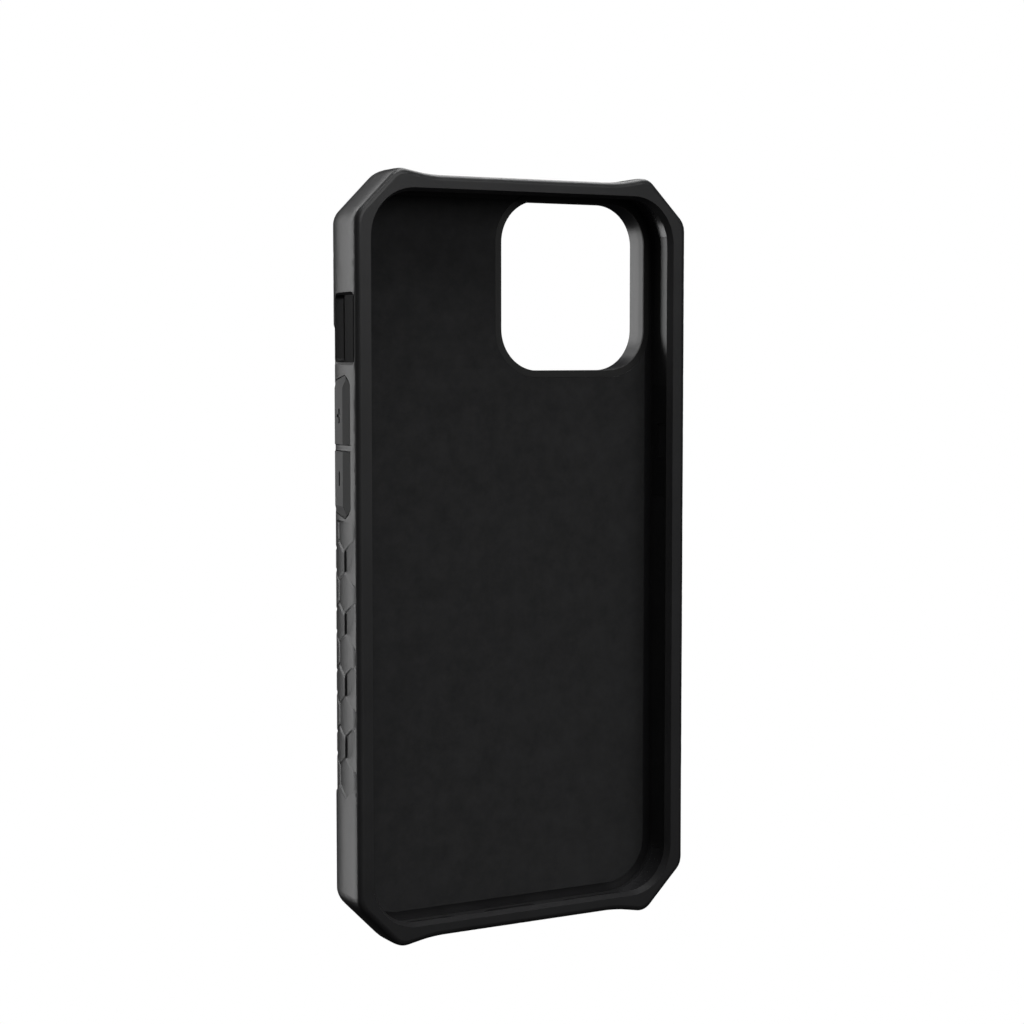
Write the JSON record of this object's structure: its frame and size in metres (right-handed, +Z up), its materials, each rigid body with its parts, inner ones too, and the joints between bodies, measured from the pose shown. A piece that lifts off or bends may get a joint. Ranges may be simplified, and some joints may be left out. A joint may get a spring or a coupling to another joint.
{
  "type": "phone case",
  "caption": "Rugged layered case for a flat slab phone, with cut corners, raised lip, honeycomb side grips, sprung side keys and a camera opening.",
  "frame": {"origin": "on the ground under the middle of the case, half way through its width and depth, standing upright on its bottom corners", "axes": "+Z up the long side, +X to the right seen from the screen side, +Y from the screen side to the back"},
  "size_m": [0.0768, 0.0146, 0.1522],
  "materials": {
    "soft_black": "fine matte soft-touch",
    "grip_black": "fine matte soft-touch, crisp raised cells",
    "key_black": "satin",
    "shell_black": "satin moulded",
    "cover_black": "fine sparked texture",
    "rim_black": "satin",
    "panel_leather": "pebbled grain",
    "lining_grey": "short microfibre nap",
    "gasket_black": "matte",
    "core_foam": "dull",
    "screw_steel": "dark satin",
    "badge_metal": "dark anodised, brushed",
    "pad_gel": "matte"
  },
  "bodies": {
    "case": {"bumper_frame": "soft_black", "honeycomb_grip_left": "grip_black", "honeycomb_grip_right": "grip_black", "back_shell": "shell_black", "volume_key_retainer": "shell_black", "side_key_retainer": "shell_black", "cover_frame": "cover_black", "camera_bezel": "rim_black", "back_panel": "panel_leather", "lining_sheet": "lining_grey", "camera_gasket": "gasket_black", "impact_core": "core_foam", "cover_screws": "screw_steel", "badge_plate": "badge_metal", "corner_pad_top_left": "pad_gel", "corner_pad_top_right": "pad_gel", "corner_pad_bottom_left": "pad_gel", "corner_pad_bottom_right": "pad_gel"},
    "volume_up": {"volume_up_button": "key_black"},
    "volume_down": {"volume_down_button": "key_black"},
    "side_key": {"side_button": "key_black"}
  },
  "joints": [
    {"name": "volume_up_press", "type": "slide", "parent": "case", "child": "volume_up", "axis": [1, 0, 0], "range_m": [0, 0.00045], "stiffness_N_per_m": 600},
    {"name": "volume_down_press", "type": "slide", "parent": "case", "child": "volume_down", "axis": [1, 0, 0], "range_m": [0, 0.00045], "stiffness_N_per_m": 600},
    {"name": "side_key_press", "type": "slide", "parent": "case", "child": "side_key", "axis": [-1, 0, 0], "range_m": [0, 0.00045], "stiffness_N_per_m": 600}
  ]
}
